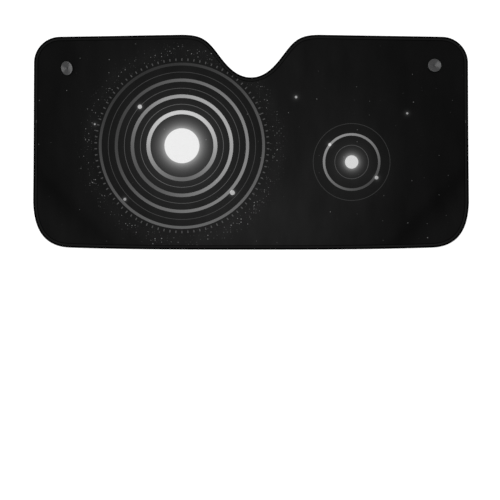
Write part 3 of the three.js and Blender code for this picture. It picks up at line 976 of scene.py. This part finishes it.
def tape_section():
    """The folded tape, from its leg on the print side over the edge to its leg on the foil side, and
    back inside: distance in from the outline, and height over the laminate's middle."""
    face = [(TAPE_LEG, 2.35), (11.8, 2.62), (11.0, 2.76), (10.2, 2.78), (9.7, 2.64), (STITCH_LINE, 2.58),
            (9.0, 2.66), (8.4, 2.82), (7.0, 2.88), (5.4, 2.86), (4.2, 2.76), (3.0, 2.58), (2.0, 2.3),
            (1.2, 1.9), (0.55, 1.35), (0.15, 0.7), (0, 0)]
    outer = face + [(inset, -rise) for inset, rise in face[-2::-1]]
    inner = LAMINATE_THICKNESS / 2 + TAPE_GAP
    return outer + [(TAPE_LEG, -inner), (3, -inner), (TAPE_THICKNESS, 0), (3, inner), (TAPE_LEG, inner)]


def tape_surface(along, inset, side, lift=0.0):
    """Points on the tape's leg: side is 1 on the print and -1 on the foil."""
    place, inwards = edge_at(along)
    at = place + inwards * np.asarray(inset)[..., None]
    level = lie(at[:, 0], at[:, 1]) + LAMINATE_THICKNESS / 2 + pucker(along, np.asarray(inset))
    return np.column_stack([at, level + side * (TAPE_FACE + lift)])


def edge_tape(material):
    section = np.array(tape_section())
    lines = []
    for inset, rise in section:
        at = EDGE + EDGE_IN * inset
        level = lie(at[:, 0], at[:, 1]) + LAMINATE_THICKNESS / 2 + rise
        lines.append(np.column_stack([at, level + held_pucker(EDGE_ALONG, inset)]))
    points = np.stack(lines, 1).reshape(-1, 3)
    along = np.repeat(EDGE_ALONG, len(section)) * MM
    across = np.tile(section[:, 0], len(EDGE)) * MM
    faces = sweep_faces(len(EDGE), len(section))
    piece = make_piece(
        "edge_tape", points, faces, "panel", "binding_tape", material, along=along, across=across,
    )
    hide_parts("edge_binding")
    return piece


def capsules(starts, ends, rise, radius):
    """Threads arched by rise from start to end, each its own closed tube."""
    rings, sides = len(THREAD_TAPER), THREAD_SIDES
    share = np.linspace(0, 1, rings)
    middle = starts[:, None] + (ends - starts)[:, None] * share[None, :, None]
    middle[:, :, 2] += rise * np.sin(np.pi * share) - THREAD_SINK * np.sign(rise)
    ahead = (ends - starts) / np.linalg.norm(ends - starts, axis=1)[:, None]
    flank = np.cross(ahead, [0, 0, 1.0])
    flank /= np.linalg.norm(flank, axis=1)[:, None]
    up = np.cross(ahead, flank)
    angle = angles_round(sides)
    spoke = np.cos(angle)[:, None] * flank[:, None, None] + np.sin(angle)[:, None] * up[:, None, None]
    points = middle[:, :, None] + spoke * (radius * THREAD_TAPER)[None, :, None, None]
    one = sweep_faces(rings, sides, closed=False) + end_caps(rings, sides)
    return points.reshape(-1, 3), repeated(one, rings * sides, len(starts))


def tape_stitches(name, side, material):
    count = round(EDGE_LENGTH / STITCH_PITCH)
    begin = np.arange(count) * EDGE_LENGTH / count
    insets = np.full(count, STITCH_LINE)
    starts = tape_surface(begin, insets, side)
    ends = tape_surface(begin + STITCH_LENGTH, insets, side)
    points, faces = capsules(starts, ends, STITCH_RISE * side, THREAD_RADIUS)
    return make_piece(name, points, faces, "panel", "binding_tape", material)


def bar_tack(name, x_side, material):
    """A short dense bar of stitches across the tape, above the middle of a side."""
    nearest = np.argmin(np.hypot(EDGE[:, 0] - x_side * WIDTH / 2, EDGE[:, 1] - TACK_HEIGHT))
    along = EDGE_ALONG[nearest] + np.linspace(-TACK_REACH, TACK_REACH, TACK_COUNT)
    starts, ends = (
        tape_surface(along, np.full(TACK_COUNT, inset), 1, TACK_LIFT) for inset in TACK_INSETS
    )
    points, faces = capsules(starts, ends, TACK_RISE, TACK_THREAD_RADIUS)
    return make_piece(name, points, faces, "panel", "binding_tape", material)


# Suction cups

CUP_SIDES = 96
PROFILE_STEPS = 3  # between two points of the profile
DISH_BACK = [(CUP_RADIUS * 0.62, 4.1), (NECK_RADIUS, 0)]  # where it comes nearest to the cloth


def smooth_profile(corners, steps):
    """A rounded line through the profile's points, radius and height."""
    p = np.array(corners, float)
    p = np.vstack([2 * p[0] - p[1], p, 2 * p[-1] - p[-2]])
    t = np.linspace(0, 1, steps, endpoint=False)[:, None]
    curve = []
    for a, b, c, d in zip(p, p[1:], p[2:], p[3:]):
        square = 2 * a - 5 * b + 4 * c - d
        cube = 3 * b - a - 3 * c + d
        curve.append(0.5 * (2 * b + (c - a) * t + square * t ** 2 + cube * t ** 3))
    return np.vstack(curve + [p[-2:-1]])


def neck_bend():
    """Where the neck's bend starts and how long it is, so that the dish clears the cloth."""
    lean = max(cup["lean"] for cup in CUPS.values())
    dip = max(radius * math.sin(lean) - height * math.cos(lean) for radius, height in DISH_BACK)
    start = HEAD_THICKNESS + HEAD_CLEARANCE + LAMINATE_THICKNESS / 2
    rise = LAMINATE_THICKNESS / 2 + DISH_CLEARANCE + dip
    return start, rise * lean / math.sin(lean)


def cup_profile(root):
    """From the middle of the head's flat side out and up to the rim, and down into the dish."""
    rim = root + DISH_HEIGHT
    outside = [
        (0.01, 0), (4.8, 0), (5.9, 0.25), (HEAD_RADIUS, 1.1), (HEAD_RADIUS, 3.4), (5.8, 4.4),
        (4.6, 4.6), (3.7, 4.75), (NECK_RADIUS, 5.4), (NECK_RADIUS, 7.5), (NECK_RADIUS, root - 0.8),
        (3.9, root + 0.4), (5.2, root + 1.35), (9, root + 2.4), (14, root + 4.15),
        (18.9, root + 6.35), (21.6, root + 7.9), (22.4, rim - 0.6), (CUP_RADIUS, rim - 0.25),
        (22.2, rim), (21.4, rim),
    ]
    inside = [
        (20.6, rim - 0.3), (18, rim - 1.3), (14, rim - 2.5), (9.6, rim - 3.75), (6, rim - 4.65),
        (3.4, rim - 5.4), (1.6, rim - 5.9), (0.01, rim - 6),
    ]
    return smooth_profile(outside + inside, PROFILE_STEPS)


def suction_cup(side, material):
    """The turned profile, slightly oval, with its neck bent so that the dish leans."""
    cup = CUPS[side]
    start, length = neck_bend()
    profile = cup_profile(start + length)
    angle = angles_round(CUP_SIDES)
    out = np.clip((profile[:, :1] - HEAD_RADIUS) / (CUP_RADIUS - HEAD_RADIUS), 0, 1)
    x = profile[:, :1] * np.cos(angle) * (1 + out * (cup["oval"][0] - 1))
    y = profile[:, :1] * np.sin(angle) * (1 + out * (cup["oval"][1] - 1))
    z = np.repeat(profile[:, 1:], CUP_SIDES, 1)
    radius = length / cup["lean"]
    along = np.clip(z - start, 0, length)
    past = z - start - along
    turn = along / radius
    bent_x = radius - (radius - x) * np.cos(turn) + past * np.sin(turn)
    bent_z = np.where(z < start, z, start + (radius - x) * np.sin(turn) + past * np.cos(turn))
    c, s = math.cos(cup["towards"]), math.sin(cup["towards"])
    east = cup["place"][0] + bent_x * c - y * s
    north = cup["place"][1] + bent_x * s + y * c
    points = np.stack([east, north, bent_z], -1).reshape(-1, 3)
    faces = [face[::-1] for face in sweep_faces(len(profile), CUP_SIDES, closed=False)]
    faces += end_caps(len(profile), CUP_SIDES)
    reach = np.repeat(profile[:, 0], CUP_SIDES) * MM
    piece = make_piece(
        f"soft_cup_{side}", points, faces, f"{side}_cup", "clear_cup", material, sharp=70, reach=reach,
    )
    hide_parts(f"suction_cup_{side}")
    return piece


# The whole shade

def dress_shade():
    cloth = closed_sheet(
        "printed_cloth", FOAM_THICKNESS + LAYER_GAP, CLOTH_THICKNESS, cloth_relief,
        slot="printed_cloth", material=cloth_material(),
    )
    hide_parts("printed_face", *PRINT_NODES)
    silver = foil_material()
    foil = closed_sheet(
        "foil_foam_sheet", 0, FOAM_THICKNESS, foil_relief, slot="foil_foam", material=silver,
    )
    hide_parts("insulation_sheet")
    foil_bubbles(silver, foil)
    tape = edge_tape(tape_material())
    black_thread = thread_material("black_thread", BLACK_THREAD)
    pale_thread = thread_material("pale_thread", PALE_THREAD)
    trims = [
        tape,
        tape_stitches("stitches_front", 1, black_thread),
        tape_stitches("stitches_back", -1, black_thread),
        bar_tack("bar_tack_left", -1, pale_thread),
        bar_tack("bar_tack_right", 1, pale_thread),
    ]
    vinyl = cup_material()
    for side in CUPS:
        suction_cup(side, vinyl)


# Camera, lights and floor

SHADE_AT = (251.0, 142.3)  # where the photograph shows the shade's middle, in its pixels
SHADE_PIXELS = 435  # and the shade's width there
PHOTO_PIXELS = 500
LENS = 100
SENSOR = 36
CLIP_END = 100
LAMP = {"place": (-0.5, 0.2, 6), "aim": (0, 0, 0), "size": 5, "power": 235}
WORLD_LIGHT = 0.42
FLOOR_SIZE = 60
FLOOR_HEIGHT = -0.0005
FLOOR_TONE = 0.8
FLOOR_FILL = (1.5, 6, 0.5, 0.7)  # from 1.5 m out to 6 m, the light added rises from 0.5 to 0.7


def add_camera():
    per_pixel = WIDTH * MM / SHADE_PIXELS
    aim_x = (PHOTO_PIXELS / 2 - SHADE_AT[0]) * per_pixel
    aim_y = (SHADE_AT[1] - PHOTO_PIXELS / 2) * per_pixel
    data = bpy.data.cameras.new("camera")
    data.lens = LENS
    data.sensor_width = SENSOR
    data.clip_end = CLIP_END
    camera = bpy.data.objects.new("camera", data)
    camera.location = (aim_x, aim_y, PHOTO_PIXELS * per_pixel * LENS / SENSOR)
    bpy.context.scene.collection.objects.link(camera)
    bpy.context.scene.camera = camera


def add_light(name, place, aim, size, power):
    data = bpy.data.lights.new(name, "AREA")
    data.shape = "DISK"
    data.size = size
    data.energy = power
    lamp = bpy.data.objects.new(name, data)
    lamp.location = place
    lamp.rotation_mode = "QUATERNION"
    lamp.rotation_quaternion = (Vector(aim) - Vector(place)).to_track_quat("-Z", "Y")
    lamp.visible_camera = False
    bpy.context.scene.collection.objects.link(lamp)


def seen_directly(nodes, links):
    """1 for rays that should show the white background: straight from the camera, or by way of
    gloss or clear plastic."""
    path = nodes.new("ShaderNodeLightPath")
    seen = path.outputs["Is Camera Ray"]
    for name in ("Is Glossy Ray", "Is Transmission Ray"):
        both = nodes.new("ShaderNodeMath")
        both.operation = "MAXIMUM"
        links.new(seen, both.inputs[0])
        links.new(path.outputs[name], both.inputs[1])
        seen = both.outputs[0]
    return seen


def white_world():
    world = bpy.data.worlds.new("studio")
    world.use_nodes = True
    bpy.context.scene.world = world
    nodes, links = world.node_tree.nodes, world.node_tree.links
    background = nodes["Background"]
    background.inputs["Color"].default_value = (1, 1, 1, 1)
    strength = nodes.new("ShaderNodeMapRange")
    strength.inputs["To Min"].default_value = WORLD_LIGHT
    strength.inputs["To Max"].default_value = 1.0
    links.new(seen_directly(nodes, links), strength.inputs["Value"])
    links.new(strength.outputs[0], background.inputs["Strength"])


def white_floor():
    """A white floor that keeps its shadows near the shade and runs on white out of the lamp's reach."""
    material = bpy.data.materials.new("floor")
    material.use_nodes = True
    nodes, links = material.node_tree.nodes, material.node_tree.links
    shader = nodes["Principled BSDF"]
    shader.inputs["Base Color"].default_value = (FLOOR_TONE, FLOOR_TONE, FLOOR_TONE, 1)
    shader.inputs["Roughness"].default_value = 0.9
    shader.inputs["Specular IOR Level"].default_value = 0.0
    shader.inputs["Emission Color"].default_value = (1, 1, 1, 1)
    away = nodes.new("ShaderNodeVectorMath")
    away.operation = "LENGTH"
    links.new(nodes.new("ShaderNodeTexCoord").outputs["Object"], away.inputs[0])
    fill = nodes.new("ShaderNodeMapRange")
    for socket, number in zip(fill.inputs[1:5], FLOOR_FILL):
        socket.default_value = number
    links.new(away.outputs["Value"], fill.inputs["Value"])
    lift = nodes.new("ShaderNodeMath")
    lift.operation = "MULTIPLY"
    links.new(seen_directly(nodes, links), lift.inputs[0])
    links.new(fill.outputs[0], lift.inputs[1])
    links.new(lift.outputs[0], shader.inputs["Emission Strength"])
    bpy.ops.mesh.primitive_plane_add(size=FLOOR_SIZE, location=(0, 0, FLOOR_HEIGHT))
    floor = bpy.context.object
    floor.name = "floor"
    floor.data.materials.append(material)


add_camera()
white_world()
white_floor()
add_light("overhead", **LAMP)
dress_shade()

bpy.context.scene.view_settings.view_transform = "Standard"
